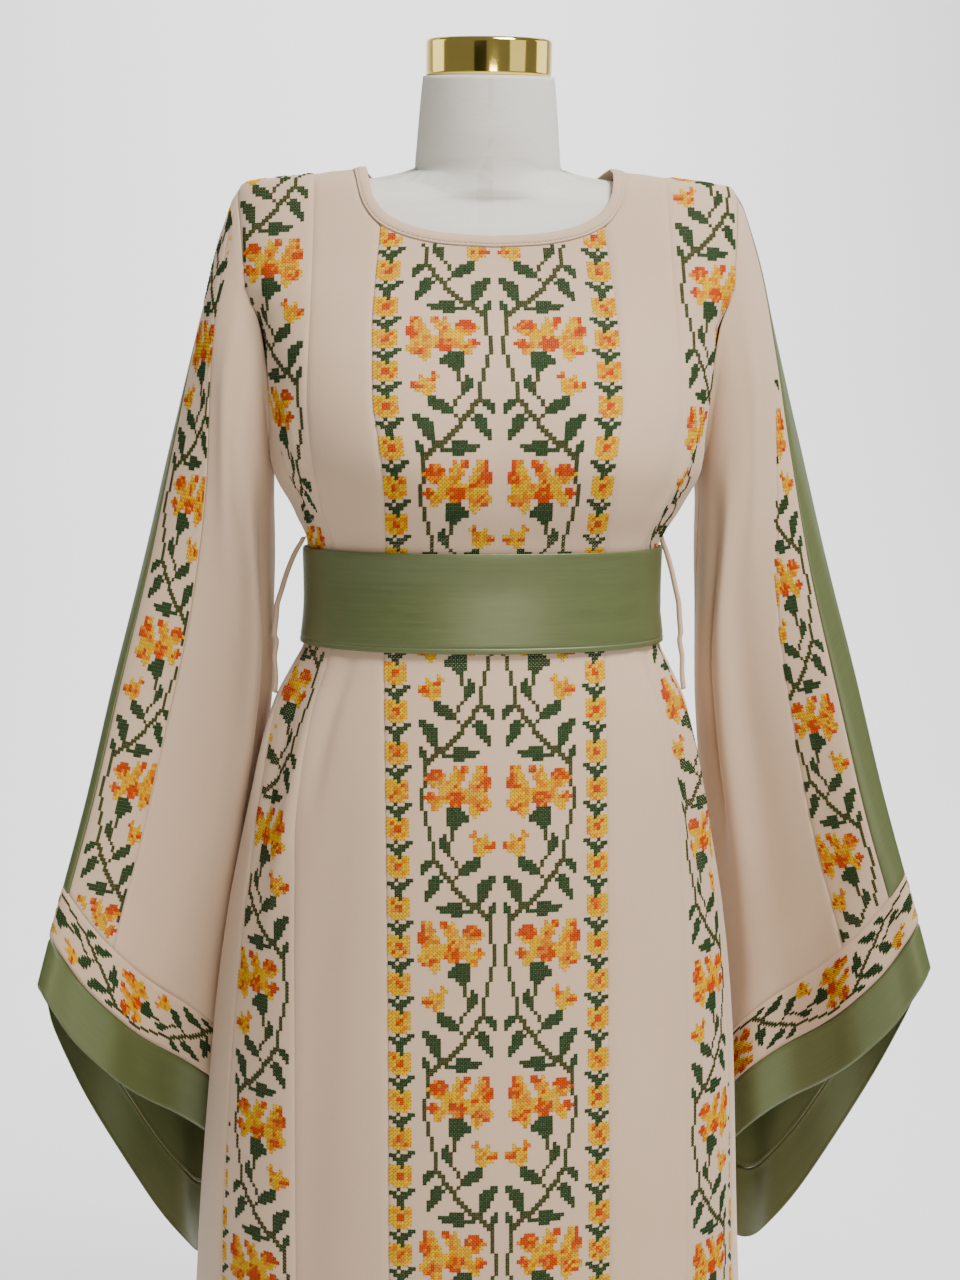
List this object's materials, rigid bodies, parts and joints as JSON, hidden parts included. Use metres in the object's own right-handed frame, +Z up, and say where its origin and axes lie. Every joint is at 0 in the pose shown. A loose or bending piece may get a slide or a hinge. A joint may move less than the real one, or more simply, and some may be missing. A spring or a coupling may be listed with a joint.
{
  "type": "thobe robe on dress form",
  "caption": "Long, wide-sleeved cross-stitched robe with a satin belt and cuffs, worn on a limbless linen dress form with a pole and round base.",
  "frame": {"origin": "middle of the whole part's box, at the floor under the base", "axes": "+Z up along the pole, the robe's front faces -Y, +X is to the viewer's right"},
  "size_m": [0.7534, 0.442, 1.5292],
  "materials": {
    "back_panel": "matt crepe",
    "belt": "satin",
    "belt_loop_l": "matt crepe",
    "belt_loop_r": "matt crepe",
    "cuff_band_l": "cross-stitched crepe",
    "cuff_band_r": "cross-stitched crepe",
    "cuff_hem_l": "satin",
    "cuff_hem_r": "satin",
    "form_base": "brushed",
    "form_neck_cap": "polished",
    "form_pole": "brushed",
    "form_torso": "plain-woven linen cover",
    "front_centre_panel": "cross-stitched crepe",
    "front_plain_panel_l": "matt crepe",
    "front_plain_panel_r": "matt crepe",
    "front_side_panel_l": "cross-stitched crepe",
    "front_side_panel_r": "cross-stitched crepe",
    "neck_binding_back": "matt crepe",
    "neck_binding_front": "matt crepe",
    "side_panel_l": "matt crepe",
    "side_panel_r": "matt crepe",
    "sleeve_back_l": "matt crepe",
    "sleeve_back_r": "matt crepe",
    "sleeve_front_l": "matt crepe",
    "sleeve_front_r": "matt crepe",
    "sleeve_satin_strip_l": "satin",
    "sleeve_satin_strip_r": "satin",
    "sleeve_stitched_strip_l": "cross-stitched crepe",
    "sleeve_stitched_strip_r": "cross-stitched crepe"
  },
  "bodies": {
    "root": {"back_panel": "back_panel", "belt": "belt", "belt_loop_l": "belt_loop_l", "belt_loop_r": "belt_loop_r", "cuff_band_l": "cuff_band_l", "cuff_band_r": "cuff_band_r", "cuff_hem_l": "cuff_hem_l", "cuff_hem_r": "cuff_hem_r", "form_base": "form_base", "form_neck_cap": "form_neck_cap", "form_pole": "form_pole", "form_torso": "form_torso", "front_centre_panel": "front_centre_panel", "front_plain_panel_l": "front_plain_panel_l", "front_plain_panel_r": "front_plain_panel_r", "front_side_panel_l": "front_side_panel_l", "front_side_panel_r": "front_side_panel_r", "neck_binding_back": "neck_binding_back", "neck_binding_front": "neck_binding_front", "side_panel_l": "side_panel_l", "side_panel_r": "side_panel_r", "sleeve_back_l": "sleeve_back_l", "sleeve_back_r": "sleeve_back_r", "sleeve_front_l": "sleeve_front_l", "sleeve_front_r": "sleeve_front_r", "sleeve_satin_strip_l": "sleeve_satin_strip_l", "sleeve_satin_strip_r": "sleeve_satin_strip_r", "sleeve_stitched_strip_l": "sleeve_stitched_strip_l", "sleeve_stitched_strip_r": "sleeve_stitched_strip_r"}
  },
  "joints": []
}
